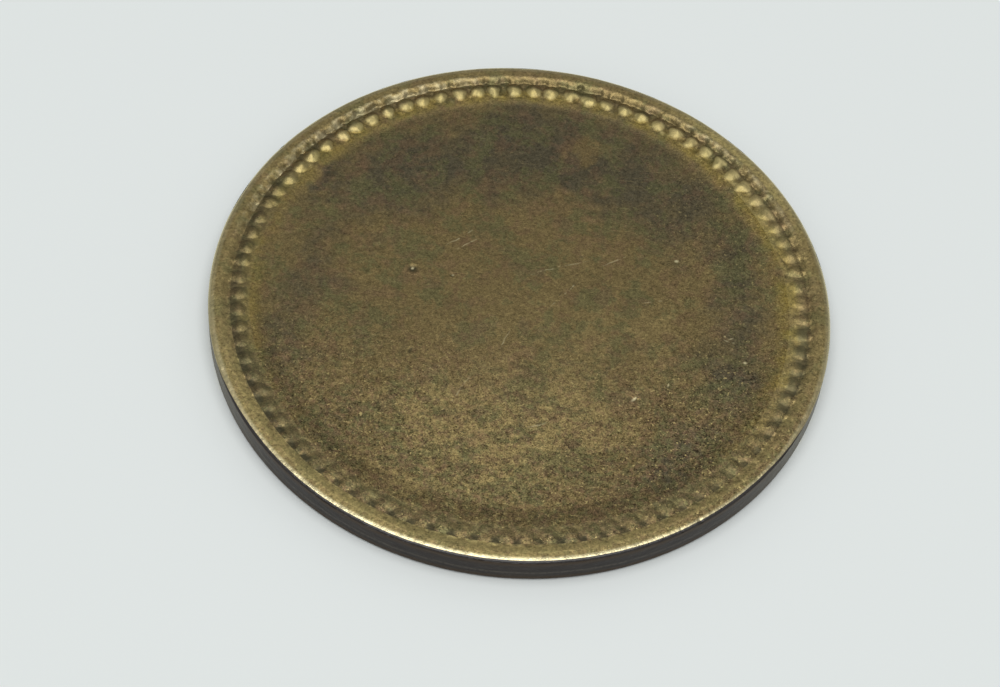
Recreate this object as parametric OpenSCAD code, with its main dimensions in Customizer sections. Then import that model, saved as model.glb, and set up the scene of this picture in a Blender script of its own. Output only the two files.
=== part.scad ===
// Transit fare token: a plain struck brass disc with a raised rim and a ring of beads on each face.
// It lies with its reverse down. +Z is up, and the origin is at the centre of the plane it rests on.
// The two faces mirror each other about the token's middle plane.

/* [Token] */
// Diameter over the edge
token_d = 23; // [18:0.5:30]
// Thickness over both rims
token_t = 1.15; // [1:0.05:2]
// Radius of the worn corner between the edge and each rim
corner_r = 0.09; // [0.04:0.01:0.12]

/* [Rim] */
// Width of the rim's flat top, corner included
rim_w = 0.45; // [0.35:0.01:0.6]
// Run of the slope on the rim's inner side
rim_slope = 0.33; // [0.2:0.01:0.4]
// Height of the rim above the floor that the beads stand on
rim_h = 0.18; // [0.15:0.01:0.24]

/* [Beads] */
// Number of beads round one face
bead_count = 88; // [60:1:90]
// Width of a bead at its foot
bead_w = 0.56; // [0.3:0.01:0.58]
// Height of a bead above its floor
bead_h = 0.13; // [0.06:0.01:0.14]
// Width of the floor that the beads stand on
floor_w = 0.66; // [0.6:0.01:0.9]

/* [Field] */
// Run of the shoulder between the bead floor and the field
shoulder_run = 0.4; // [0.2:0.01:0.6]
// Drop of the shoulder from the bead floor to the field
shoulder_drop = 0.05; // [0.03:0.01:0.08]
// Further drop of the shallow dish from the field's border to its centre
dish = 0.03; // [0:0.01:0.03]

/* [Blank] */
// Width of the blank's upset edge, which carries the rims
upset_w = 0.35; // [0.2:0.01:0.4]
// Thickness of the blank's web between the two struck faces
web_t = 0.32; // [0.2:0.01:0.35]

/* [Hidden] */

ROUND_STEPS = 180;   // sides drawn on the large circles
CORNER_STEPS = 8;    // steps drawn on the quarter turn of the worn corner
DISH_STEPS = 6;      // steps drawn on the dish, from the field's border to its centre
BEAD_STEPS = 24;     // sides drawn on a bead

token_r = token_d / 2;
mid_z = token_t / 2;
half_t = token_t / 2;
upset_r = token_r - upset_w;
land_r = token_r - rim_w;
floor_r = land_r - rim_slope;
shoulder_r = floor_r - floor_w;
field_r = shoulder_r - shoulder_run;
floor_h = half_t - rim_h;
field_h = floor_h - shoulder_drop;
bead_ring_r = floor_r - floor_w / 2;
bead_ball_r = (bead_w * bead_w / 4 + bead_h * bead_h) / (2 * bead_h);

EDGE_COLOUR = [0.25, 0.24, 0.23];
FIELD_COLOUR = [0.42, 0.36, 0.22];
BEAD_COLOUR = [0.52, 0.46, 0.29];
RIM_COLOUR = [0.56, 0.49, 0.31];

// Places a face that is modelled on the middle plane, facing up, on the token's upper or lower side.
module on_obverse() {
    translate([0, 0, mid_z]) children();
}

module on_reverse() {
    translate([0, 0, mid_z]) mirror([0, 0, 1]) children();
}

// Quarter of the corner's circle, from the edge's wall to the rim's flat top.
function corner_arc() = [
    for (i = [0 : CORNER_STEPS])
        let (a = 90 * i / CORNER_STEPS)
        [token_r - corner_r + corner_r * cos(a), half_t - corner_r + corner_r * sin(a)]
];

// Profile of the dished field, from its border to its centre, as a shallow parabola.
function dish_curve() = [
    for (i = [0 : DISH_STEPS])
        let (share = 1 - i / DISH_STEPS)
        [field_r * share, field_h - dish * (1 - share * share)]
];

// The blank: a thin web with an upset edge that stands above it on both sides.
module blank() {
    wall_h = token_t - 2 * corner_r;
    difference() {
        cylinder(r = token_r, h = wall_h, center = true, $fn = ROUND_STEPS);
        for (side = [-1, 1])
            translate([0, 0, side * (web_t / 2 + token_t / 2)])
                cylinder(r = upset_r, h = token_t, center = true, $fn = ROUND_STEPS);
    }
}

// A struck face: the plate under the rim and the beads, the shoulder, and the dished field.
module struck_face() {
    rotate_extrude($fn = ROUND_STEPS)
        polygon(concat(
            [[0, web_t / 2], [upset_r, web_t / 2], [upset_r, floor_h], [shoulder_r, floor_h]],
            dish_curve()
        ));
}

// One bead: the cap of a ball that is sunk into the floor.
module bead() {
    intersection() {
        translate([0, 0, bead_h - bead_ball_r]) sphere(r = bead_ball_r, $fn = BEAD_STEPS);
        translate([0, 0, bead_h]) cube([2 * bead_w, 2 * bead_w, 2 * bead_h], center = true);
    }
}

module bead_ring() {
    for (i = [0 : bead_count - 1])
        rotate([0, 0, 360 * i / bead_count])
            translate([bead_ring_r, 0, floor_h]) bead();
}

// The raised rim: a flat top, a worn outer corner and a sloping inner side.
module raised_rim() {
    rotate_extrude($fn = ROUND_STEPS)
        polygon(concat(
            [[floor_r, floor_h], [upset_r, floor_h], [upset_r, half_t - corner_r]],
            corner_arc(),
            [[land_r, half_t]]
        ));
}

module planchet() {
    color(EDGE_COLOUR) translate([0, 0, mid_z]) blank();
}

module obverse_field() {
    color(FIELD_COLOUR) on_obverse() struck_face();
}

module obverse_beads() {
    color(BEAD_COLOUR) on_obverse() bead_ring();
}

module obverse_rim() {
    color(RIM_COLOUR) on_obverse() raised_rim();
}

module reverse_field() {
    color(FIELD_COLOUR) on_reverse() struck_face();
}

module reverse_beads() {
    color(BEAD_COLOUR) on_reverse() bead_ring();
}

module reverse_rim() {
    color(RIM_COLOUR) on_reverse() raised_rim();
}

planchet();
obverse_field();
obverse_beads();
obverse_rim();
reverse_field();
reverse_beads();
reverse_rim();
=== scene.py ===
"""Looks of the transit token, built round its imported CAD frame.

Shapes are worked out in millimetres in the part's frame, and add_mesh() turns them into Blender's metres.
Both faces are made by the same functions. A face is modelled looking up from the token's middle plane,
and the reverse is turned over afterwards, with its own wear and its own random draws.
"""

import math

import bpy
import numpy as np
from mathutils import Matrix, Vector


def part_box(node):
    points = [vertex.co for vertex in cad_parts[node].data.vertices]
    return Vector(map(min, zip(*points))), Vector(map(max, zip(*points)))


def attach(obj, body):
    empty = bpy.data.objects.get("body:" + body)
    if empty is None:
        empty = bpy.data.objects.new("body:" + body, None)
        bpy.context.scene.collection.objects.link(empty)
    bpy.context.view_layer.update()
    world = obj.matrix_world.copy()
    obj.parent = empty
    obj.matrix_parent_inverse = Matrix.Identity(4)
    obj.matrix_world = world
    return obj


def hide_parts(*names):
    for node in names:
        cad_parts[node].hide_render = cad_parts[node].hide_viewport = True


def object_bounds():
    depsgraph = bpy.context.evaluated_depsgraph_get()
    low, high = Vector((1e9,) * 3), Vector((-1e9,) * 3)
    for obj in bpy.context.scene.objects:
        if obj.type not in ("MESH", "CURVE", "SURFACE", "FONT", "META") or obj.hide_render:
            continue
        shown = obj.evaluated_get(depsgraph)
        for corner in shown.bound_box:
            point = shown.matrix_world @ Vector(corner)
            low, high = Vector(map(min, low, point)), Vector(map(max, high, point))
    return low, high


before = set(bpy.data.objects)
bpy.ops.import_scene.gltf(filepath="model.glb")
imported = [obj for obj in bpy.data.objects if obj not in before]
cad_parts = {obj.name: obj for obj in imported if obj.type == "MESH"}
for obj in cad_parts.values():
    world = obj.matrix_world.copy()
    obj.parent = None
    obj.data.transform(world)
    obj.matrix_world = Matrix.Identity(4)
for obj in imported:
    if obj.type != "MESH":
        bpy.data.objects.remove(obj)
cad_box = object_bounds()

MM = 1000.0


def node_box_mm(node):
    """Lowest and highest corner of a CAD node, in millimetres."""
    low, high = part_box(node)
    return np.array(low) * MM, np.array(high) * MM


# ---------------------------------------------------------------- sizes, in millimetres
# Names in _R are distances from the token's axis, and names in _H are heights above its middle plane.
TOKEN_R = round(node_box_mm("planchet")[1][0], 2)
HALF_T = round(cad_box[1].z * MM, 3) / 2
WALL_TOP = node_box_mm("planchet")[1][2] - HALF_T
FLOOR_H = node_box_mm("obverse_rim")[0][2] - HALF_T
PLATE_R = node_box_mm("obverse_field")[1][0]
WEB_H = node_box_mm("obverse_field")[0][2] - HALF_T
BEAD_RISE = node_box_mm("obverse_beads")[1][2] - HALF_T - FLOOR_H

# Rim: foot and top of its inner slope, and the worn outer corner, which is a flattened quarter oval.
FOOT_R = 10.72
SLOPE_TOP_R = 11.07
CREST_R = TOKEN_R - 0.38
CREST_H = HALF_T - 0.014
CORNER_DROP = 0.16
CORNER_POWER = 3.8
# The power of the slope's curve where the strike is sharp and where it's weak, and the share of its run
# that is rounded at its foot. A shallow groove runs along the foot.
SLOPE_POWER = 2.4
WEAK_SLOPE_POWER = 1.5
FOOT_ROUND = 0.13
GROOVE_DEPTH = 0.005
GROOVE_WIDTH = 0.09
# Dents in the corner: their mean depth, the radii between which they set in, and the share of a dent's
# depth by which it's also pushed inwards.
DENT_MEAN = 0.004
DENTED = (CREST_R + 0.08, CREST_R + 0.26)
DENT_INWARD = 0.4

# Beads: how many, where the first one is, and the ring that they stand on. The slope's foot is
# scalloped round them, and their outer side is battered where they are high.
BEAD_COUNT = 88
BEAD_TURN = 2 * math.pi / BEAD_COUNT
FIRST_BEAD = 0.47 * BEAD_TURN
BEAD_RING_R = 10.39
BEAD_RING_IN = 9.96
BEAD_RING_OUT = 10.70
SCALLOP = 0.05
BATTER_DEPTH = 0.012
BATTERED = (BEAD_RING_OUT, 10.5)
# The shape of a bead, and how much its angle and its outline vary. Its height is a share of a new
# bead's: the mean of that share, and how much it varies.
BEAD_POWER = 1.15
BEAD_ANGLE_VARIES = 0.003
BEAD_LOBE_VARIES = 0.05
BEAD_HEIGHT_MEAN = 0.97
BEAD_HEIGHT_VARIES = 0.07
# Each other size of a bead: its middle value, how much it varies, and what's added to it where the
# beads are small and where they are long.
BEAD_SIZES = {
    "radius": (BEAD_RING_R, 0.015, 0.03, 0.09),
    "inner": (0.37, 0.025, -0.05, 0.03),
    "outer": (0.33, 0.02, 0.0, 0.03),
    "side": (0.335, 0.016, -0.03, -0.035),
}

# Where the beads have only a share of WEAK_STRIKE of their height, their floor is lifted by FLOOR_LIFT,
# and the foot of the shoulder lies further in by SHOULDER_SPREAD.
WEAK_STRIKE = 0.35
FLOOR_LIFT = 0.075
SHOULDER_SPREAD = 0.5

# Field: the border of its dish, the foot and the top of its shoulder, its height at the border, and the
# depth of the dish.
FIELD_R = 9.6
SHOULDER_FOOT_R = FIELD_R - 0.05
SHOULDER_R = 10.06
FIELD_H = FLOOR_H - 0.042
DISH = 0.03

# Edge: how far its wall is worn back between its ends, and how much its grain adds to that.
EDGE_SEED = 71
EDGE_WEAR = 0.003
EDGE_GRAIN = 0.0025

# Small pits all over the field: how many, how far out, their radii, and their depths as shares of that.
SMALL_PITS = 70
PIT_REACH = 9.4
PIT_RADII = (0.09, 0.2)
PIT_DEPTHS = (0.02, 0.06)

# Grids: the field's rings of squares, and the sectors and rows of the bead ring, the rim and the blank.
RINGS = 155
SECTORS = 24 * BEAD_COUNT
BEAD_ROWS = 36
SLOPE_ROWS = 20
CORNER_ROWS = 16
WALL_ROWS = 30
HUB_R = 0.5

# Under the bead ring the field goes down by SUNK, and needs only a few rings. Its seen part runs on
# under the bead ring by OVERLAP, and the bead ring's first row lies lower than the field by LET_IN. The
# bead ring's fine grain fades in over GRAIN_FADE. The rim's under side lies below the bead floor.
SUNK = 0.03
SINKING = (BEAD_RING_IN + 0.01, BEAD_RING_IN + 0.34)
HIDDEN_RINGS = [10.04, 10.12, 10.35, BEAD_RING_OUT]
OVERLAP = 0.02
LET_IN = 0.002
GRAIN_FADE = 0.2
RIM_UNDERCUT = 0.01


# ---------------------------------------------------------------- shape helpers
def smoothstep(value, low, high):
    """0 below low and 1 above high, with soft ends. high below low turns it round."""
    share = np.clip((value - low) / (high - low), 0.0, 1.0)
    return share * share * (3 - 2 * share)


def uneven(x, y, seed, size, longest, shortest, waves=40):
    """Smooth random unevenness of about the given size: plane waves of mixed direction and length."""
    rng = np.random.default_rng(seed)
    total, power = np.zeros_like(x), 0.0
    for _ in range(waves):
        length = math.exp(rng.uniform(math.log(shortest), math.log(longest)))
        heading, phase = rng.uniform(0, 2 * math.pi, 2)
        across = x * math.cos(heading) + y * math.sin(heading)
        total += length * np.sin(2 * math.pi * across / length + phase)
        power += length * length / 2
    return size * (total / math.sqrt(power))


def around(angle, seed, size, slowest, fastest, waves=16):
    """The same round a circle, in waves per turn: it closes on itself after a full turn."""
    rng = np.random.default_rng(seed)
    total = np.zeros_like(angle)
    for _ in range(waves):
        turns = int(rng.integers(slowest, fastest + 1))
        phase = rng.uniform(0, 2 * math.pi)
        total += np.sin(turns * angle + phase)
    return size * (total / math.sqrt(waves / 2))


def angle_between(a, b):
    """Smallest signed angle from b to a."""
    return (a - b + math.pi) % (2 * math.pi) - math.pi


def near_angle(angle, centre_deg, width_deg):
    """1 at an angle and 0 beyond a width either side of it, with soft ends."""
    off = np.abs(angle_between(angle, math.radians(centre_deg)))
    return 1 - smoothstep(off, 0.35 * math.radians(width_deg), math.radians(width_deg))


# ---------------------------------------------------------------- the relief of a face
# How one face departs from a new one. Positions are in millimetres, angles in degrees.
# pits: x, y, radius, depth. nicks: angle, width, depth. long_beads and small_beads: angle, width.
# odd_beads: angle, extra half width, three-cornered share. bead_wear: angle, share of a new bead's height.
OBVERSE = {
    "seed": 11,
    "pits": [
        (-4.12, 0.98, 0.2, 0.035), (-2.65, 0.86, 0.1, 0.015), (5.64, -3.22, 0.1, 0.015),
        (-3.8, -2.76, 0.14, 0.015), (4.43, -3.97, 0.12, 0.012),
    ],
    "nicks": [
        (-52, 0.14, 0.02), (-56, 0.1, 0.012), (-38, 0.2, 0.01), (-112, 0.2, 0.01),
        (-128, 0.3, 0.012), (205, 0.3, 0.015), (148, 0.4, 0.015),
    ],
    "long_beads": (10, 85),
    "small_beads": (190, 38),
    "odd_beads": [(-34, 0.07, 0.28), (-30, 0.05, -0.2)],
    "bead_wear": [
        (0, 0.46), (22, 0.62), (55, 0.95), (140, 1), (158, 0.65), (195, 0.45), (225, 0.35),
        (310, 0.35), (335, 0.4),
    ],
}
REVERSE = {
    "seed": 57,
    "pits": [(3.2, 4.4, 0.16, 0.03), (-5.2, -2.1, 0.12, 0.02), (1.4, -6.3, 0.12, 0.02)],
    "nicks": [(-20, 0.3, 0.02), (75, 0.25, 0.02), (160, 0.35, 0.02), (250, 0.2, 0.015)],
    "long_beads": (200, 35),
    "small_beads": (40, 40),
    "odd_beads": [(110, 0.06, 0.2)],
    "bead_wear": [(0, 1), (60, 0.75), (120, 0.5), (180, 0.7), (240, 1)],
}


def strike(angle, face):
    """Share of a new bead's height at an angle round the face."""
    wear_angle, wear = np.array(face["bead_wear"], float).T
    return np.interp(np.degrees(angle), wear_angle, wear, period=360)


def bead_table(face):
    """Each bead's angle, radius, inner, outer and side half sizes, height, outline lobe and its turn."""
    rng = np.random.default_rng(face["seed"] + 9)
    angle = FIRST_BEAD + BEAD_TURN * np.arange(BEAD_COUNT)
    small_share = near_angle(angle, *face["small_beads"])
    long_share = near_angle(angle, *face["long_beads"])
    jitter = iter(rng.normal(0, 1, (7, BEAD_COUNT)))
    table = {"angle": angle + BEAD_ANGLE_VARIES * next(jitter)}
    for key, (middle, varies, small, long) in BEAD_SIZES.items():
        table[key] = middle + varies * next(jitter) + small * small_share + long * long_share
    height_share = BEAD_HEIGHT_MEAN + BEAD_HEIGHT_VARIES * next(jitter)
    table["height"] = BEAD_RISE * strike(angle, face) * height_share
    table["lobe"] = BEAD_LOBE_VARIES * next(jitter)
    table["lobe_turn"] = rng.uniform(0, 2 * math.pi, BEAD_COUNT)
    for angle_deg, wider, lobe in face["odd_beads"]:
        odd = int(np.argmin(np.abs(angle_between(angle, math.radians(angle_deg)))))
        table["side"][odd] += wider
        table["lobe"][odd] = lobe
        table["lobe_turn"][odd] = 0.0
    return table


def bead_relief(radius, angle, face):
    """Height of the beads above their floor. Neighbours run into each other softly."""
    table = bead_table(face)
    nearest = np.rint((angle - FIRST_BEAD) / BEAD_TURN).astype(int)
    total = np.zeros_like(angle)
    for shift in (-1, 0, 1):
        bead = {key: values[(nearest + shift) % BEAD_COUNT] for key, values in table.items()}
        across = BEAD_RING_R * angle_between(angle, bead["angle"]) / bead["side"]
        along = radius - bead["radius"]
        along = along / np.where(along > 0, bead["outer"], bead["inner"])
        lobe = 1 + bead["lobe"] * np.cos(3 * (np.arctan2(across, along) - bead["lobe_turn"]))
        inside = np.clip(1 - (across ** 2 + along ** 2) / lobe ** 2, 0, 1)
        total += (bead["height"] * inside ** BEAD_POWER) ** 3
    return np.cbrt(total)


def slope_rise(radius, foot, top, power):
    """Share of the rim's height that its inner slope has reached at a radius."""
    share = np.clip((radius - foot) / (top - foot), 0, 1)
    share = (share + FOOT_ROUND * (np.exp(-share / FOOT_ROUND) - 1)) / (1 - FOOT_ROUND)
    return 1 - (1 - np.clip(share, 0, 1)) ** power


def corner_fall(radius):
    """How far the rim's worn top has fallen at a radius outside its crest."""
    share = np.clip((radius - CREST_R) / (TOKEN_R - CREST_R), 0, 1)
    return CORNER_DROP * (1 - (1 - share ** CORNER_POWER) ** (1 / CORNER_POWER))


def corner_radius(fall):
    """The radius at which the rim's worn top has fallen so far."""
    share = np.clip(1 - np.asarray(fall) / CORNER_DROP, 0, 1)
    return CREST_R + (TOKEN_R - CREST_R) * (1 - share ** CORNER_POWER) ** (1 / CORNER_POWER)


def dent_profile(off):
    """A dent of unit depth, by the distance from its middle in radii: a hollow and a raised lip."""
    lip = 0.35 * np.exp(-((off - 1.25) / 0.3) ** 2)
    return lip - np.exp(-(off / 0.75) ** 4)


def pit_relief(x, y, face):
    """Dents in the field: the placed ones, and many small ones."""
    rng = np.random.default_rng(face["seed"] + 4)
    spread = PIT_REACH * np.sqrt(rng.uniform(0, 1, SMALL_PITS))
    heading = rng.uniform(0, 2 * math.pi, SMALL_PITS)
    radii = rng.uniform(*PIT_RADII, SMALL_PITS)
    depths = radii * rng.uniform(*PIT_DEPTHS, SMALL_PITS)
    small = zip(spread * np.cos(heading), spread * np.sin(heading), radii, depths)
    total = np.zeros_like(x)
    for pit_x, pit_y, pit_r, depth in face["pits"] + list(small):
        total += depth * dent_profile(np.hypot(x - pit_x, y - pit_y) / pit_r)
    return total


def relief(x, y, face):
    """Height of the worn face above the middle plane, without its beads."""
    seed = face["seed"]
    radius, angle = np.hypot(x, y), np.arctan2(y, x)
    weak = (1 - strike(angle, face)) / (1 - WEAK_STRIKE)
    floor_h = FLOOR_H + FLOOR_LIFT * weak
    height = FIELD_H - DISH * (1 - (np.minimum(radius, FIELD_R) / FIELD_R) ** 2)
    shoulder_foot = SHOULDER_FOOT_R - SHOULDER_SPREAD * weak
    height += (floor_h - FIELD_H) * smoothstep(radius, shoulder_foot, SHOULDER_R)
    wander = around(angle, seed + 1, size=0.015, slowest=2, fastest=14)
    ragged = around(angle, seed + 7, size=0.018, slowest=60, fastest=260, waves=50)
    foot = FOOT_R + wander + ragged - SCALLOP * np.cos((angle - FIRST_BEAD) * BEAD_COUNT)
    power = SLOPE_POWER + (WEAK_SLOPE_POWER - SLOPE_POWER) * weak
    height += (CREST_H - floor_h) * slope_rise(radius, foot, SLOPE_TOP_R + wander, power)
    height -= corner_fall(radius)
    height -= GROOVE_DEPTH * (1 - weak) * np.exp(-((radius - foot) / GROOVE_WIDTH) ** 2)
    height += uneven(x, y, seed + 2, size=0.0032, longest=6.0, shortest=1.6)
    height += uneven(x, y, seed + 3, size=0.0012, longest=0.9, shortest=0.25, waves=60)
    return height


# ---------------------------------------------------------------- meshes
def add_mesh(name, points, faces, flip=False):
    """A mesh object from points in millimetres above the middle plane. flip turns a face over."""
    points = np.array(points, float)
    if flip:
        points[:, 2] *= -1
        faces = [tuple(reversed(f)) for f in faces]
    points[:, 2] += HALF_T
    mesh = bpy.data.meshes.new(name)
    mesh.from_pydata((points / MM).tolist(), [], faces)
    mesh.validate()
    mesh.shade_smooth()
    mesh.set_sharp_from_angle(angle=math.radians(60))
    piece = bpy.data.objects.new(name, mesh)
    bpy.context.scene.collection.objects.link(piece)
    return piece


def ring_faces(first, second, count):
    """Quads between two rings of points, each given by the index of its first point."""
    return [
        (first + i, second + i, second + (i + 1) % count, first + (i + 1) % count)
        for i in range(count)
    ]


def ring_mesh(name, rows, flip):
    """A closed ring from rows of points that each go once round it: top rows first, then the way back."""
    count = len(rows[0])
    faces = []
    for k in range(len(rows)):
        faces += ring_faces(k * count, (k + 1) % len(rows) * count, count)
    return add_mesh(name, np.vstack(rows), faces, flip)


def sector_angles():
    return 2 * math.pi * np.arange(SECTORS) / SECTORS


def ring_row(radius, angle, height):
    """Points at the given angles. The radius and the height are one value, or one for each angle."""
    radius, height = np.broadcast_to(radius, angle.shape), np.broadcast_to(height, angle.shape)
    return np.column_stack([radius * np.cos(angle), radius * np.sin(angle), height])


def disc_grid():
    """(angle, ring, quads) of an even grid on a disc. Ring k holds 8 k points, and ring 0 is the centre."""
    steps = np.arange(-RINGS, RINGS + 1)
    column, row = (part.ravel() for part in np.meshgrid(steps, steps))
    ring = np.maximum(abs(column), abs(row))
    wide = abs(column) >= abs(row)
    eighth, quarter = math.pi / 4, math.pi / 2
    over_column = row / np.where(wide & (column != 0), column, 1)
    over_row = column / np.where(wide | (row == 0), 1, row)
    along_x = np.where(column >= 0, 0.0, math.pi) + eighth * over_column
    along_y = np.where(row >= 0, 1, -1) * quarter - eighth * over_row
    width = 2 * RINGS + 1
    quads = [
        (j * width + i, j * width + i + 1, (j + 1) * width + i + 1, (j + 1) * width + i)
        for j in range(width - 1)
        for i in range(width - 1)
    ]
    return np.where(wide, along_x, along_y), ring, quads


def add_field(name, face, flip):
    """The struck plate inside the rim. Under the bead ring it's sunk a little, and ends at the rim."""
    angle, ring, quads = disc_grid()
    seen = np.linspace(0, BEAD_RING_IN + OVERLAP, RINGS + 1 - len(HIDDEN_RINGS))
    radius = np.concatenate([seen, HIDDEN_RINGS])[ring]
    x, y = radius * np.cos(angle), radius * np.sin(angle)
    height = relief(x, y, face) + pit_relief(x, y, face) - SUNK * smoothstep(radius, *SINKING)
    top = np.column_stack([x, y, height])
    border = np.flatnonzero(ring == RINGS)
    border = border[np.argsort(angle[border] % (2 * math.pi))].tolist()
    below = top[border].copy()
    below[:, 2] = WEB_H
    first, count = len(top), len(border)
    faces = list(quads)
    for i in range(count):
        here, there = border[i], border[(i + 1) % count]
        low_here, low_there = first + i, first + (i + 1) % count
        faces.append((there, here, low_here, low_there))
        faces.append((low_there, low_here, first + count))
    return add_mesh(name, np.vstack([top, below, [[0, 0, WEB_H]]]), faces, flip)


def add_beads(name, face, flip):
    """The ring of beads with the floor between them, as one closed ring let into the field."""
    angle, seed = sector_angles(), face["seed"]
    rows = []
    for radius in np.linspace(BEAD_RING_IN, BEAD_RING_OUT, BEAD_ROWS):
        x, y = radius * np.cos(angle), radius * np.sin(angle)
        battered = BATTER_DEPTH * strike(angle, face) * smoothstep(radius, *BATTERED)
        grain = uneven(x, y, seed + 8, size=0.0015, longest=0.3, shortest=0.08, waves=60)
        grain += uneven(x, y, seed + 12, size=battered, longest=0.8, shortest=0.25)
        grain *= smoothstep(radius, BEAD_RING_IN, BEAD_RING_IN + GRAIN_FADE)
        height = relief(x, y, face) + bead_relief(radius, angle, face) + grain
        rows.append(ring_row(radius, angle, height))
    rows[0][:, 2] -= LET_IN
    bottom = FIELD_H - 2 * SUNK
    rows += [ring_row(BEAD_RING_OUT, angle, bottom), ring_row(BEAD_RING_IN, angle, bottom)]
    return ring_mesh(name, rows, flip)


def corner_dents(angle, face):
    """How far the rim's worn corner is knocked back at an angle: small dents all round, and the nicks."""
    seed = face["seed"]
    dents = around(angle, seed + 5, size=0.002, slowest=30, fastest=160, waves=60)
    dents += around(angle, seed + 6, size=0.004, slowest=3, fastest=30)
    for centre_deg, width, depth in face["nicks"]:
        off = angle_between(angle, math.radians(centre_deg)) * TOKEN_R / width
        dents += depth * np.exp(-2 * off * off)
    return np.clip(dents + DENT_MEAN, 0, None)


def corner_row_radii():
    """Radii of the rows down the worn corner, below its crest. The last one is the top of the wall."""
    top_share = 1 - (CREST_H - WALL_TOP) / CORNER_DROP
    last_turn = math.acos(top_share ** (CORNER_POWER / 2))
    turns = np.linspace(0, last_turn, CORNER_ROWS)[1:]
    return CREST_R + (TOKEN_R - CREST_R) * np.sin(turns) ** (2 / CORNER_POWER)


def add_rim(name, face, flip):
    """The raised rim: inner slope, worn crest, and the corner with its nicks, as a closed ring."""
    angle, seed = sector_angles(), face["seed"]
    dents = corner_dents(angle, face)
    *corner, wall_r = corner_row_radii()
    rows = []
    for radius in [*np.linspace(BEAD_RING_OUT, CREST_R, SLOPE_ROWS), *corner]:
        x, y = radius * np.cos(angle), radius * np.sin(angle)
        worn = dents * smoothstep(radius, *DENTED)
        grain = uneven(x, y, seed + 8, size=0.001, longest=0.3, shortest=0.08, waves=60)
        height = relief(x, y, face) + bead_relief(radius, angle, face) + grain - worn
        rows.append(ring_row(radius - DENT_INWARD * worn, angle, height))
    rows += [
        ring_row(wall_r, angle, WALL_TOP),
        ring_row(PLATE_R, angle, WALL_TOP),
        ring_row(PLATE_R, angle, FLOOR_H - RIM_UNDERCUT),
        ring_row(BEAD_RING_OUT, angle, FLOOR_H - 2 * SUNK),
    ]
    return ring_mesh(name, rows, flip)


def add_blank(name):
    """The blank: its web, and the upset edge whose outer wall is the token's edge."""
    angle = sector_angles()
    rows = []
    for height in np.linspace(WALL_TOP, -WALL_TOP, WALL_ROWS):
        # The grain is drawn out along the edge, so it's looked up at twice the height.
        along, up = angle * TOKEN_R, np.full(SECTORS, 2 * height)
        grain = uneven(along, up, EDGE_SEED, size=1.0, longest=1.2, shortest=0.15, waves=50)
        off_ends = 1 - (abs(height) / WALL_TOP) ** 6
        worn = off_ends * (EDGE_WEAR + EDGE_GRAIN * np.clip(grain, -1, 2))
        rows.append(ring_row(corner_radius(CREST_H - abs(height)) - worn, angle, height))
    for radius, height in (
        (PLATE_R, -WALL_TOP), (PLATE_R, -WEB_H), (HUB_R, -WEB_H),
        (HUB_R, WEB_H), (PLATE_R, WEB_H), (PLATE_R, WALL_TOP),
    ):
        rows.append(ring_row(radius, angle, height))
    lower_hub, upper_hub = WALL_ROWS + 2, WALL_ROWS + 3
    faces = []
    for k in range(len(rows)):
        if k != lower_hub:
            quads = ring_faces(k * SECTORS, (k + 1) % len(rows) * SECTORS, SECTORS)
            faces += [tuple(reversed(f)) for f in quads]
    faces.append(tuple(reversed(range(lower_hub * SECTORS, upper_hub * SECTORS))))
    faces.append(tuple(range(upper_hub * SECTORS, (upper_hub + 1) * SECTORS)))
    return add_mesh(name, np.vstack(rows), faces)


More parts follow.
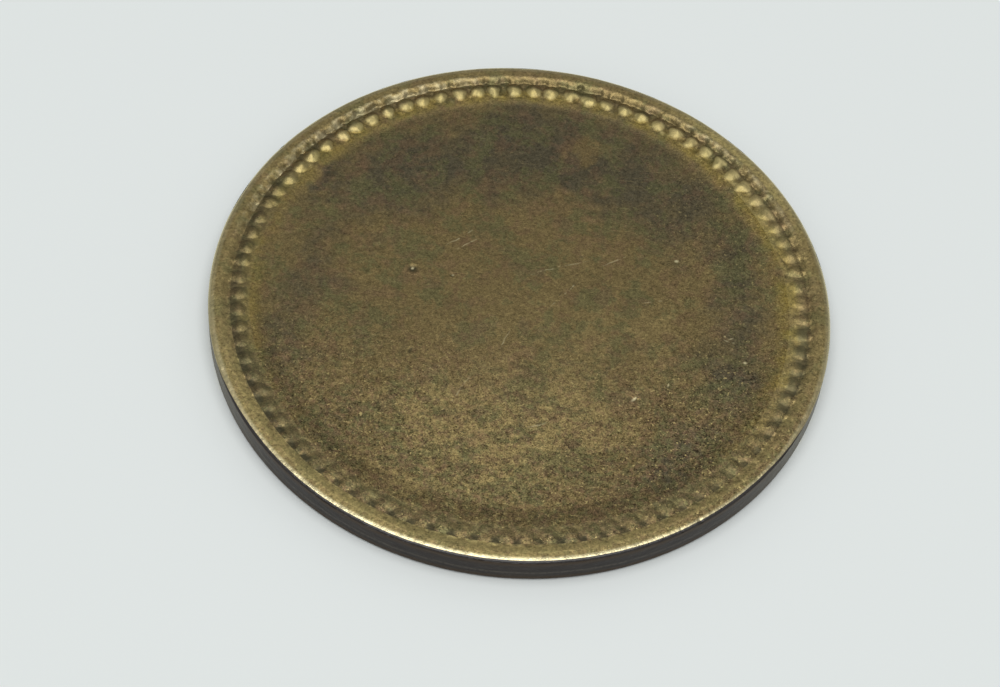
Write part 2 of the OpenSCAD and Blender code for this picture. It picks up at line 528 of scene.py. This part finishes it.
# ---------------------------------------------------------------- materials
class Shader:
    """One material's node tree, with short calls for the nodes that it uses."""

    def __init__(self, name):
        self.material = bpy.data.materials.new(name)
        self.material.use_nodes = True
        self.tree = self.material.node_tree
        self.surface = self.tree.nodes["Principled BSDF"]

    def node(self, kind, inputs=(), **settings):
        made = self.tree.nodes.new(kind)
        for key, value in settings.items():
            setattr(made, key, value)
        for key, value in dict(inputs).items():
            self.feed(made.inputs[key], value)
        return made

    def feed(self, socket, value):
        if isinstance(value, bpy.types.NodeSocket):
            self.tree.links.new(value, socket)
        else:
            socket.default_value = value

    def set_surface(self, **values):
        """Values or sockets for the surface's inputs, with _ for the spaces in their names."""
        for key, value in values.items():
            self.feed(self.surface.inputs[key.replace("_", " ")], value)

    def math(self, operation, a, b=0.0, clamp=False):
        made = self.node("ShaderNodeMath", {0: a, 1: b}, operation=operation, use_clamp=clamp)
        return made.outputs[0]

    def vector(self, operation, a, b, c=(0, 0, 0)):
        return self.node("ShaderNodeVectorMath", {0: a, 1: b, 2: c}, operation=operation).outputs[0]

    def add(self, first, *others):
        for other in others:
            first = self.math("ADD", first, other)
        return first

    def times(self, first, *others):
        for other in others:
            first = self.math("MULTIPLY", first, other)
        return first

    def minus(self, a, b):
        return self.math("SUBTRACT", a, b)

    def most(self, a, b):
        return self.math("MAXIMUM", a, b)

    def held(self, a, b=0.0):
        """The sum, held between 0 and 1."""
        return self.math("ADD", a, b, clamp=True)

    def weigh(self, start, *masks):
        """start plus each mask times its weight."""
        for mask, weight in masks:
            start = self.add(start, self.times(mask, weight))
        return start

    def swing(self, noise, size):
        """Noise moved to swing about 0."""
        return self.times(self.add(noise, -0.5), size)

    def step(self, value, low, high):
        """0 below low and 1 above high, with soft ends. high below low turns it round."""
        turned = high < low
        made = self.node(
            "ShaderNodeMapRange",
            {"Value": value, "From Min": min(low, high), "From Max": max(low, high),
             "To Min": float(turned), "To Max": float(not turned)},
            interpolation_type="SMOOTHSTEP",
        )
        return made.outputs["Result"]

    def mix(self, share, a, b):
        made = self.node("ShaderNodeMix", data_type="RGBA")
        for socket, value in zip((made.inputs[0], made.inputs[6], made.inputs[7]), (share, a, b)):
            self.feed(socket, value if isinstance(value, (bpy.types.NodeSocket, float)) else (*value, 1))
        return made.outputs[2]

    def scale(self, vector, factor):
        made = self.node("ShaderNodeVectorMath", {0: vector, "Scale": factor}, operation="SCALE")
        return made.outputs[0]

    def length(self, vector):
        return self.node("ShaderNodeVectorMath", {0: vector}, operation="LENGTH").outputs["Value"]

    def axes(self, vector):
        return self.node("ShaderNodeSeparateXYZ", {0: vector}).outputs

    def millimetres(self, shift=(0, 0, 0)):
        """Place on the token in millimetres, moved by shift."""
        place = self.node("ShaderNodeTexCoord").outputs["Object"]
        return self.vector("MULTIPLY_ADD", place, (MM,) * 3, shift)

    def noise(self, place, scale, detail=2.0, rough=0.5, warp=0.0, output="Fac"):
        """Noise from about 0 to 1, with scale in features a millimetre."""
        made = self.node(
            "ShaderNodeTexNoise",
            {"Vector": place, "Scale": scale, "Detail": detail, "Roughness": rough, "Distortion": warp},
        )
        return made.outputs[output]

    def stretched(self, place, turn_deg, sizes):
        """The place turned about Z and stretched, for texture with a grain."""
        turn = (0, 0, math.radians(turn_deg))
        made = self.node("ShaderNodeMapping", {"Vector": place, "Rotation": turn, "Scale": sizes})
        return made.outputs[0]

    def spot(self, place, x, y, turn_deg, length, width, strength):
        """A soft oval spot: half its length and width in millimetres, turned about Z, at any height."""
        made = self.node(
            "ShaderNodeMapping",
            {"Vector": place, "Location": (x, y, 0), "Rotation": (0, 0, math.radians(turn_deg)),
             "Scale": (length, width, 1e6)},
            vector_type="TEXTURE",
        )
        return self.times(self.step(self.length(made.outputs[0]), 1.0, 0.15), strength)

    def spots(self, place, table):
        """Sum of soft oval spots: x, y, turn, half length, half width and strength of each."""
        return self.add(*(self.spot(place, *row) for row in table))

    def finish(self, colour, rough, bumps, distance_um):
        relief_map = self.node("ShaderNodeBump", {"Height": bumps, "Distance": distance_um / MM / MM})
        self.set_surface(Base_Color=colour, Roughness=rough, Normal=relief_map.outputs[0])
        return self.material


# Brass, from tarnished to worn bright. The golds and the pale brass are also laid on as painted highlights
# and sheen, and the grime colour as painted shade.
DARK = (0.118, 0.101, 0.062)
BRONZE = (0.232, 0.172, 0.074)
LIGHT = (0.36, 0.272, 0.115)
OLIVE = (0.155, 0.15, 0.066)
REDDISH = (0.22, 0.132, 0.078)
GRIME_AND_SHADE = (0.075, 0.067, 0.038)
OLD_GOLD = (0.34, 0.255, 0.062)
SPECK_GOLD = (0.68, 0.54, 0.23)
LAND_GOLD = (0.82, 0.66, 0.27)
BEAD_GOLD = (0.87, 0.735, 0.34)
PALE_WEAR_AND_HIGHLIGHT = (0.86, 0.76, 0.46)
BRASS_METALLIC = 0.95

# The dark edge
PATINA = (0.0285, 0.0235, 0.0215)
CLOUD_PATINA = (0.044, 0.036, 0.031)
GRAIN_PATINA = (0.08, 0.068, 0.055)
LINE_PATINA = (0.095, 0.083, 0.066)
FLANK_SHEEN_PATINA = (0.15, 0.135, 0.1)
BROWN = (0.058, 0.037, 0.02)

# Sides of a face: where along Y or X each side begins, and where it's fully reached.
NEAR, FAR = (0.5, -6.5), (5.5, 9.0)
RIGHT, LEFT = (3.5, 7.5), (-5.5, -9.5)

# Directions of the hairline scratches in degrees, and how dense they are.
HAIRLINES = ((24, 0.3), (-38, 0.31), (71, 0.3), (128, 0.31))

# Patches and marks of a face: x, y, turn, half length, half width and strength. On the obverse the first
# dark patch, over the far half, is partly painted shade, and the first light patch, over the near half, is
# partly painted light.
OBVERSE_PATCHES = {
    "dark": [
        (0.4, 7.2, 0, 9.0, 4.2, 0.48), (-5.6, 4.6, 40, 4.6, 3.2, 0.35), (6.2, 5.0, -40, 4.6, 3.0, 0.35),
        (7.9, 0.6, 85, 5.4, 2.0, 0.4), (8.2, -3.1, 80, 2.6, 1.8, 0.4), (5.8, -6.2, 35, 3.4, 2.0, 0.4),
        (-8.1, -0.6, 85, 5.4, 2.2, 0.35), (-5.0, 4.5, 10, 1.4, 0.7, 0.2),
        (-5.3, -6.4, -40, 3.0, 1.6, 0.25), (-7.6, 5.1, 30, 1.1, 0.6, 0.6),
    ],
    "light": [
        (-1.0, -6.4, 10, 6.0, 4.4, 0.64), (1.4, -1.6, 20, 6.0, 4.4, 0.25),
        (-4.2, -3.6, 60, 4.0, 3.0, 0.15), (2.0, 7.7, 0, 1.0, 0.7, 0.5),
        (1.7, 5.0, 0, 1.6, 1.2, 0.2), (3.0, -5.4, 0, 3.8, 2.6, 0.26),
    ],
    "red": [
        (1.9, 7.7, 0, 1.2, 0.8, 0.2), (1.7, 5.0, 0, 1.8, 1.2, 0.35), (-6.6, 5.5, 40, 0.9, 0.5, 0.4),
        (-0.8, -3.2, 0, 3.6, 2.0, 0.2), (5.2, -4.0, 0, 2.0, 1.2, 0.25), (-2.4, 2.6, 40, 1.4, 0.5, 0.3),
    ],
    "bright_marks": [
        (5.69, 2.59, 0, 0.12, 0.09, 0.8), (4.43, -3.97, 50, 0.2, 0.08, 0.8),
        (8.40, -1.84, 0, 0.1, 0.08, 0.7), (7.86, -0.80, 25, 0.13, 0.05, 0.4),
        (7.68, -0.92, -20, 0.16, 0.04, 0.35), (7.62, -0.72, 60, 0.08, 0.05, 0.3),
        (7.94, -0.98, 5, 0.07, 0.04, 0.3), (5.64, -3.2, 80, 0.14, 0.05, 0.4),
        (-4.13, 1.0, 30, 0.09, 0.07, 0.8), (-2.6, 0.86, 0, 0.07, 0.06, 0.5),
    ],
    "dark_marks": [
        (-4.12, 0.98, 0, 0.27, 0.23, 0.9), (-2.65, 0.86, 0, 0.12, 0.1, 0.6),
        (-3.8, -2.76, 70, 0.26, 0.1, 0.6), (-7.7, 5.15, 30, 0.45, 0.25, 0.55),
    ],
    "pale_scratches": [
        (1.62, 0.62, 58, 1.3, 0.04, 0.5), (-2.5, 2.7, 42, 1.0, 0.04, 0.45),
        (-2.2, 2.45, 42, 0.8, 0.035, 0.4), (3.4, 2.3, 35, 0.9, 0.035, 0.35),
        (-1.9, -4.4, 65, 1.2, 0.04, 0.4), (0.9, -5.6, 20, 1.0, 0.04, 0.35),
        (1.3, 1.7, 25, 1.6, 0.035, 0.35), (-0.6, -2.2, 70, 1.4, 0.035, 0.35),
        (4.9, 0.6, 15, 1.0, 0.035, 0.3),
    ],
    "dark_scratches": [
        (1.35, 0.3, 70, 0.5, 0.05, 0.7), (1.85, 1.0, 50, 0.6, 0.045, 0.6),
        (2.7, 0.2, 62, 1.4, 0.035, 0.4),
    ],
}
REVERSE_PATCHES = {
    "dark": [
        (3.0, -5.0, 20, 5.0, 3.0, 0.5), (-6.0, 3.0, 60, 4.4, 2.4, 0.5), (7.0, 4.0, -50, 3.6, 2.0, 0.4),
    ],
    "light": [(-2.0, -3.0, 10, 5.0, 3.6, 0.4), (2.5, 3.5, 30, 4.0, 2.8, 0.3)],
    "red": [(-4.0, 6.0, 0, 1.6, 1.0, 0.5), (5.5, -1.0, 30, 1.4, 0.9, 0.4)],
    "bright_marks": [(3.2, 4.4, 0, 0.08, 0.06, 0.7)],
    "dark_marks": [(3.2, 4.4, 0, 0.18, 0.16, 0.7), (-5.2, -2.1, 0, 0.14, 0.12, 0.6)],
    "pale_scratches": [(-3.0, 2.0, 30, 0.9, 0.04, 0.4), (2.0, -1.0, 120, 1.2, 0.04, 0.35)],
    "dark_scratches": [(4.0, -4.0, 10, 1.2, 0.04, 0.4)],
}


class FaceBrass(Shader):
    """Tarnished brass of a face, in layers of colour that are laid on by the methods. Some layers are
    painted highlights, sheen and shade, laid on by which side of the face they are on.

    near, far, right and left are soft shares from 0 to 1 for the sides of the face. near is towards -Y.
    """

    def __init__(self, name, patches, shift):
        super().__init__(name)
        self.patches = patches
        self.place, self.here = self.millimetres(shift), self.millimetres()
        colours = self.noise(self.place, 0.7, 4.0, output="Color")
        self.drift = self.vector("SUBTRACT", colours, (0.5,) * 3)
        self.x, self.y, z = self.axes(self.here)
        self.height = self.math("ABSOLUTE", self.add(z, -HALF_T))
        self.radius = self.length(self.vector("MULTIPLY", self.here, (1, 1, 0)))
        self.near, self.far = self.step(self.y, *NEAR), self.step(self.y, *FAR)
        self.right, self.left = self.step(self.x, *RIGHT), self.step(self.x, *LEFT)
        self.mottle = self.noise(self.place, 1.5, 5.0, 0.65)
        self.grain = self.noise(self.place, 8.0, 3.0, 0.7)
        self.dust = self.noise(self.place, 19.0, 1.0)
        self.colour = DARK
        self.rough = self.add(0.44, self.swing(self.noise(self.place, 3.0, 4.0, 0.6), 0.3))
        self.bumps = self.weigh(self.times(self.grain, 0.7), (self.dust, 0.3))
        self.set_surface(Metallic=BRASS_METALLIC)

    def lay(self, colour, share):
        """Covers a share of what is there with a colour."""
        self.colour = self.mix(share, self.colour, colour)

    def drifted(self, size):
        """Place on the token pushed about by the drift, which makes outlines wander."""
        return self.vector("MULTIPLY_ADD", self.drift, (size,) * 3, self.here)

    def ring(self, low, high):
        """Soft step by the distance from the token's axis."""
        return self.step(self.radius, low, high)

    def along(self, low, high):
        """Soft step by the place along Y."""
        return self.step(self.y, low, high)

    def tarnish_and_painted_shade(self):
        """Dark, bronze and light brass in clouds, with olive and reddish drifts. Its light and dark patches
        are partly tarnish and partly painted light and shade: lighter on the near half and darker on the
        far half.
        """
        warped = self.drifted(3.4)
        cloud = self.noise(self.place, 0.3, 4.0, 0.55, 0.5)
        clump = self.swing(self.noise(self.place, 3.2, 4.0, 0.7, 0.4), 0.9)
        tone = self.add(0.45, self.swing(cloud, 0.7), self.swing(self.mottle, 0.7))
        # The clumps are stronger on the near half. With the patches below, this paints the near half
        # lighter and the far half darker, partly as painted light and shade.
        tone = self.weigh(tone, (clump, self.add(0.2, self.near)))
        tone = self.add(tone, self.spots(warped, self.patches["light"]))
        tone = self.minus(tone, self.spots(warped, self.patches["dark"]))
        self.lay(BRONZE, self.step(tone, -0.15, 0.5))
        self.lay(LIGHT, self.step(tone, 0.45, 1.1))
        green = self.step(self.noise(self.place, 0.8, 5.0, 0.7), 0.49, 0.59)
        self.lay(OLIVE, self.times(green, 0.62))
        rust = self.step(self.noise(self.place, 1.1, 5.0, 0.7, 0.4), 0.49, 0.6)
        rust = self.held(self.times(rust, 0.58), self.spots(warped, self.patches["red"]))
        self.lay(REDDISH, self.times(rust, 0.6))

    def shoulder_gold_sheen(self):
        """Painted sheen of old gold in patches round the shoulder: narrow on the far side, and gone on the
        near one, whose slope faces away from the light.
        """
        wide, narrow = self.ring(9.3, 9.98), self.ring(9.65, 9.98)
        band = self.times(self.weigh(wide, (self.far, self.minus(narrow, wide))), self.ring(10.5, 10.2))
        patchy = self.add(0.5, self.swing(self.noise(self.place, 1.2, 3.0, 0.6), 1.6))
        # Painted sheen: none on the near side.
        gold = self.times(band, self.step(patchy, 0.1, 0.8), self.along(-7.5, -1.0))
        self.lay(OLD_GOLD, self.times(gold, self.weigh(0.7, (self.left, -0.2))))

    def flecks(self, colour, shrink, strength):
        """Flecks of a colour on the near half."""
        noise = self.noise(self.scale(self.place, shrink), 2.6, 4.0, 0.7)
        self.lay(colour, self.times(self.step(noise, 0.5, 0.6), self.near, strength))

    def grain_and_glints(self):
        """Grain and specks, partly real and partly painted glints: the grain is coarser and stronger, and
        the golden specks denser, on the near half and the right, where they stand for glints. Dark specks
        are stronger on the near half too.
        """
        self.flecks(OLIVE, 1.0, 0.55)
        self.flecks(REDDISH, 1.21, 0.5)
        fine = self.add(self.swing(self.grain, 1.5), self.swing(self.dust, 0.9))
        rugged = self.swing(self.noise(self.place, 5.0, 4.0, 0.8, 0.3), 2.0)
        rugged = self.add(rugged, self.swing(self.dust, 1.0))
        # Weight of the coarse grain and the golden specks: most on the near half and the right, as painted
        # glints.
        coarse = self.weigh(0.12, (self.near, 1.15), (self.right, 0.5))
        shade = self.weigh(self.add(1.0, fine), (rugged, coarse))
        self.colour = self.scale(self.colour, self.most(shade, 0.25))
        # Golden specks, partly painted glints.
        glint_speck = self.step(self.noise(self.place, 7.5, 2.0, 0.75), 0.6, 0.7)
        self.lay(SPECK_GOLD, self.times(glint_speck, self.weigh(0.08, (coarse, 0.52))))
        stain = self.step(self.noise(self.scale(self.place, 1.13), 5.0, 3.0, 0.75), 0.42, 0.34)
        self.lay(DARK, self.times(stain, self.weigh(0.15, (self.near, 0.4))))

    def hairlines(self, turn_deg, density):
        """Fine straight scratches in one direction, as thin lines that come and go."""
        line = self.noise(self.stretched(self.place, turn_deg, (0.22, 9.0, 1.0)), 1.0)
        patch = self.noise(self.stretched(self.place, turn_deg, (0.35, 1.1, 1.0)), 1.0, 1.0)
        return self.times(self.step(line, 1.0 - density, 1.04 - density), self.step(patch, 0.52, 0.62))

    def scratches_and_marks(self):
        """Hairlines in several directions, and the face's own scratches and marks."""
        scratch = 0.0
        for turn_deg, density in HAIRLINES:
            scratch = self.most(scratch, self.hairlines(turn_deg, density))
        self.lay(LIGHT, self.times(scratch, 0.22))
        self.bumps = self.weigh(self.bumps, (scratch, 0.15))
        bent = self.drifted(0.5)
        broken = self.step(self.noise(self.place, 4.0, 2.0), 0.42, 0.56)
        self.lay(GRIME_AND_SHADE, self.times(self.spots(bent, self.patches["dark_scratches"]), broken))
        self.lay(PALE_WEAR_AND_HIGHLIGHT, self.times(self.spots(bent, self.patches["pale_scratches"]), broken))
        self.lay(GRIME_AND_SHADE, self.held(self.spots(self.here, self.patches["dark_marks"])))
        self.lay(PALE_WEAR_AND_HIGHLIGHT, self.held(self.spots(self.here, self.patches["bright_marks"])))

    def between_beads(self):
        """1 halfway between two beads, and 0 at the middle of each."""
        turn = self.math("ARCTAN2", self.y, self.x)
        beads = self.math("DIVIDE", self.minus(turn, FIRST_BEAD), BEAD_TURN)
        share = self.math("FRACT", self.add(beads, BEAD_COUNT))
        return self.minus(1.0, self.math("ABSOLUTE", self.add(self.times(share, 2.0), -1.0)))

    def grime_and_shade(self, wobble):
        """Dirt round the beads, partly painted shade: in the notches outside them, laid on most heavily on
        the near side, where they face away from the light; on their floor, most on the left; and a crust on
        the right.
        """
        notch = self.step(self.weigh(self.between_beads(), (wobble, 0.8)), 0.42, 0.76)
        notch = self.times(notch, self.ring(10.38, 10.56), self.ring(10.83, 10.7))
        near_left = self.times(self.near, self.weigh(1.0, (self.right, -0.4)))
        # The notches' dark is stronger on the near side, as painted shade, and weaker on the far side.
        notch = self.times(notch, self.weigh(0.28, (self.far, -0.14), (near_left, 0.5), (wobble, 1.2)))
        low = self.step(self.weigh(self.height, (wobble, 0.04)), FLOOR_H + 0.045, FLOOR_H + 0.005)
        low = self.times(low, self.ring(10.2, 10.45), self.along(-5.0, 2.0))
        low = self.times(low, self.weigh(0.2, (self.far, -0.12), (self.left, 0.3)))
        self.lay(GRIME_AND_SHADE, self.held(notch, low))
        crust = self.times(self.step(self.noise(self.place, 1.6, 4.0, 0.6), 0.38, 0.56), self.right)
        crust = self.times(crust, self.ring(10.15, 10.4), self.ring(10.9, 10.75))
        crust = self.times(crust, self.along(1.2, -0.8), self.along(-5.5, -4.0))
        self.lay(GRIME_AND_SHADE, self.times(crust, 0.75))

    def bead_highlights_and_shade(self, wobble):
        """Painted highlights on the far beads' inner slopes, which face the light, painted shade on the
        beads of the near side, and darker beads on the left.
        """
        # Darker beads on the left, and painted shade on the beads of the near side.
        dull = self.times(self.left, self.along(6.0, 3.0), self.ring(9.97, 10.2))
        self.lay(GRIME_AND_SHADE, self.weigh(self.times(dull, 0.36), (self.near, 0.2)))
        # Painted highlight: pale gold on the far beads' inner slopes, which face the light.
        top = self.step(self.weigh(self.height, (wobble, 0.05)), FLOOR_H + 0.005, FLOOR_H + 0.06)
        top = self.times(top, self.step(self.weigh(self.radius, (self.right, -0.2)), 10.52, 10.34))
        bead_highlight = self.weigh(self.times(self.along(3.0, 7.5), 0.36), (self.right, 0.04))
        bead_highlight = self.held(self.times(bead_highlight, self.along(-6.0, -3.0)), 0.06)
        self.lay(BEAD_GOLD, self.times(top, bead_highlight))
        self.rough = self.weigh(self.rough, (self.add(self.far, self.right), 0.08))

    def land_wear_and_highlight(self, worn):
        """Gold on the rim's flat top: a little all round as worn brass, and more as a painted highlight in
        front, where the top slopes towards the light, and at the far right; broken by the grain.
        """
        inner_part = self.ring(11.14, 11.02)
        # Painted highlight in front and at the far right.
        near_highlight = self.times(self.near, self.weigh(0.11, (inner_part, 0.2)))
        far_right = self.times(self.along(3.0, 6.5), self.right, self.ring(11.0, 11.12))
        gold_share = self.weigh(
            self.add(0.12, near_highlight),
            (self.times(self.near, self.right), -0.17),
            (self.times(self.far, inner_part), -0.07),
            (far_right, 0.32),
        )
        gold_share = self.times(gold_share, self.add(1.0, self.swing(self.grain, 3.0), self.swing(self.mottle, 1.5)))
        reach = self.step(self.weigh(worn, (self.near, 0.07)), 10.67, 10.9)
        self.lay(LAND_GOLD, self.times(reach, self.most(gold_share, 0.0)))

    def slope_highlights(self):
        """Painted highlights in blotches on the rim's inner slope, which faces the light on the far side:
        mostly on the far left and the far right.
        """
        highlight_blotches = self.step(self.noise(self.place, 2.2, 4.0, 0.7), 0.4, 0.66)
        far_left = self.times(self.step(self.x, -1.0, -5.5), self.along(1.0, 4.0))
        far_right = self.times(self.along(3.0, 6.5), self.right, self.ring(10.8, 10.95))
        glow = self.weigh(self.times(self.far, 0.03), (far_left, 0.42), (far_right, 0.3))
        self.lay(PALE_WEAR_AND_HIGHLIGHT, self.times(highlight_blotches, self.ring(11.1, 11.0), glow))

    def corner_wear_and_highlight(self, worn):
        """Bright metal on the worn corner, partly wear and partly painted highlight: a line, brightest in
        front where the corner faces the light, and a thin painted highlight round the outline everywhere
        else.
        """
        # The line is partly wear, and grows in front as a painted highlight.
        line = self.step(self.weigh(worn, (self.right, -0.04)), 11.22, 11.35)
        front = self.weigh(0.3, (self.along(-6.0, -10.0), 0.38), (self.right, -0.12))
        line = self.times(line, self.weigh(0.22, (self.near, front)))
        # Painted highlight: a thin pale outline, away from the near side.
        outline = self.times(self.ring(11.38, 11.43), self.weigh(0.85, (self.near, -0.85)))
        bright_corner = self.most(line, outline)
        self.lay(PALE_WEAR_AND_HIGHLIGHT, bright_corner)
        self.rough = self.weigh(self.rough, (bright_corner, -0.2))

    def darken_edge(self, wobble):
        """The edge's patina, where it comes up over the corner on the near side."""
        start = self.weigh(11.51, (self.along(-3.0, -7.5), -0.125))
        dark_edge = self.step(self.minus(self.weigh(self.radius, (wobble, 0.02)), start), 0.0, 0.015)
        self.lay(PATINA, dark_edge)
        self.set_surface(Metallic=self.times(self.minus(1.0, dark_edge), BRASS_METALLIC))


def face_material(name, patches, shift, part):
    """Brass of a face. part is field, beads or rim, which differ in where they're worn and grimy and where
    they get painted highlights and shade.
    """
    s = FaceBrass(name, patches, shift)
    s.tarnish_and_painted_shade()
    s.shoulder_gold_sheen()
    s.grain_and_glints()
    s.scratches_and_marks()
    if part != "field":
        wobble = s.swing(s.noise(s.place, 2.4, 3.0, 0.6), 1.0)
        s.grime_and_shade(wobble)
    if part == "beads":
        s.bead_highlights_and_shade(wobble)
    if part == "rim":
        worn = s.add(s.radius, s.swing(s.noise(s.place, 4.0, 4.0, 0.7), 0.09))
        s.land_wear_and_highlight(worn)
        s.slope_highlights()
        s.corner_wear_and_highlight(worn)
        s.darken_edge(wobble)
    return s.finish(s.colour, s.most(s.rough, 0.2), s.bumps, distance_um=12)


def edge_material():
    """The dark, dull edge of the blank: a faint paler line round it, brown ends, and flanks lightened by
    painted sheen, as by light glancing off them.
    """
    s = Shader("edge_patina")
    place = s.millimetres()
    _, y, z = s.axes(place)
    height = s.add(z, -HALF_T)
    cloud = s.noise(s.stretched(place, 0, (1.0, 1.0, 6.0)), 0.8, 5.0, 0.6)
    grain = s.noise(place, 9.0, 4.0, 0.65)
    colour = s.mix(s.step(cloud, 0.35, 0.7), PATINA, CLOUD_PATINA)
    colour = s.mix(s.times(s.step(grain, 0.55, 0.8), 0.5), colour, GRAIN_PATINA)
    line_off = s.math("ABSOLUTE", s.add(height, 0.1, s.swing(s.noise(place, 0.3), 0.1)))
    line = s.times(s.step(line_off, 0.09, 0.01), s.step(grain, 0.3, 0.6))
    colour = s.mix(s.times(line, 0.7), colour, LINE_PATINA)
    level = s.add(s.math("ABSOLUTE", height), s.swing(grain, 0.1))
    end = s.step(level, WALL_TOP - 0.28, WALL_TOP - 0.06)
    colour = s.mix(s.times(end, 0.85), colour, BROWN)
    # Painted sheen: paler patina on the left and right flanks of the edge.
    off_flanks = s.math("ABSOLUTE", s.add(y, s.swing(cloud, 2.0), 2.0))
    colour = s.mix(s.times(s.step(off_flanks, 7.0, 2.0), 0.85), colour, FLANK_SHEEN_PATINA)
    rough = s.add(0.42, s.swing(cloud, 0.3))
    streaks = s.noise(s.stretched(place, 0, (1, 1, 12)), 2.0, 3.0)
    s.set_surface(Specular_IOR_Level=0.16)
    return s.finish(colour, rough, s.weigh(grain, (streaks, 0.6)), distance_um=9)


# ---------------------------------------------------------------- the pieces
def finish_piece(piece, node, material):
    piece.data.materials.append(material)
    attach(piece, "root")
    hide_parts(node)


def add_face(side, face, flip, patches, shift):
    """The three pieces of a face. shift moves its texture to another part of the noise."""
    makers = (("field", "field", add_field), ("beads", "bead", add_beads), ("rim", "rim", add_rim))
    for kind, slot, make in makers:
        material = face_material(f"{side}_{kind}_brass", patches, shift, kind)
        finish_piece(make(f"{kind}_{side}", face, flip), f"{side}_{kind}", material)


add_face("obverse", OBVERSE, False, OBVERSE_PATCHES, shift=(0, 0, 0))
add_face("reverse", REVERSE, True, REVERSE_PATCHES, shift=(37, 21, 13))
finish_piece(add_blank("blank_with_edge"), "planchet", edge_material())


# ---------------------------------------------------------------- floor, light and camera
FLOOR_COLOURS = (0.868, 0.903, 0.89), (0.878, 0.913, 0.9)
WORLD_COLOUR = (0.97, 1.0, 1.0)


def add_floor(size):
    mesh = bpy.data.meshes.new("floor")
    corners = [(-size, -size, 0), (size, -size, 0), (size, size, 0), (-size, size, 0)]
    mesh.from_pydata(corners, [], [(0, 1, 2, 3)])
    floor = bpy.data.objects.new("floor", mesh)
    bpy.context.scene.collection.objects.link(floor)
    s = Shader("pale_floor")
    colour = s.mix(s.noise(s.millimetres(), 0.02, 2.0), *FLOOR_COLOURS)
    s.set_surface(Base_Color=colour, Roughness=0.85, Specular_IOR_Level=0.2)
    mesh.materials.append(s.material)


def add_lamp(name, place, aim, across, radiance):
    """A round softbox of a given brightness, whatever its size."""
    light = bpy.data.lights.new(name, "AREA")
    light.shape = "DISK"
    light.size = across
    light.energy = radiance * math.pi * math.pi * (across / 2) ** 2
    lamp = bpy.data.objects.new(name, light)
    lamp.location = place
    lamp.rotation_euler = (Vector(aim) - Vector(place)).to_track_quat("-Z", "Y").to_euler()
    bpy.context.scene.collection.objects.link(lamp)


def add_world(brightness):
    world = bpy.data.worlds.new("studio")
    world.use_nodes = True
    background = world.node_tree.nodes["Background"]
    background.inputs["Color"].default_value = (*WORLD_COLOUR, 1)
    background.inputs["Strength"].default_value = brightness
    bpy.context.scene.world = world


def add_camera(distance, elevation, pan, tilt, roll, lens):
    """A camera a number of token radii away. pan and tilt move the token off the picture's middle."""
    up_angle = math.radians(elevation)
    back = Vector((0, -math.cos(up_angle), math.sin(up_angle)))
    centre = Vector((0, 0, HALF_T / MM))
    facing = back.to_track_quat("Z", "Y").to_matrix().to_4x4()
    turn = (
        Matrix.Rotation(math.radians(pan), 4, "Y")
        @ Matrix.Rotation(math.radians(-tilt), 4, "X")
        @ Matrix.Rotation(math.radians(-roll), 4, "Z")
    )
    data = bpy.data.cameras.new("camera")
    data.sensor_fit = "HORIZONTAL"
    data.sensor_width, data.lens = 36.0, lens
    data.clip_start, data.clip_end = 0.005, 10.0
    camera = bpy.data.objects.new("camera", data)
    place = Matrix.Translation(centre + back * (distance * TOKEN_R / MM))
    camera.matrix_world = place @ facing @ turn
    bpy.context.scene.collection.objects.link(camera)
    bpy.context.scene.camera = camera


add_floor(size=1.2)
add_lamp("overhead", place=(0, -0.08, 0.5), aim=(0, 0, 0), across=0.52, radiance=2.4)
add_world(brightness=0.36)
add_camera(distance=8.074, elevation=52.49, pan=0.368, tilt=0.908, roll=-5.836, lens=90.0)
bpy.context.scene.view_settings.view_transform = "Standard"
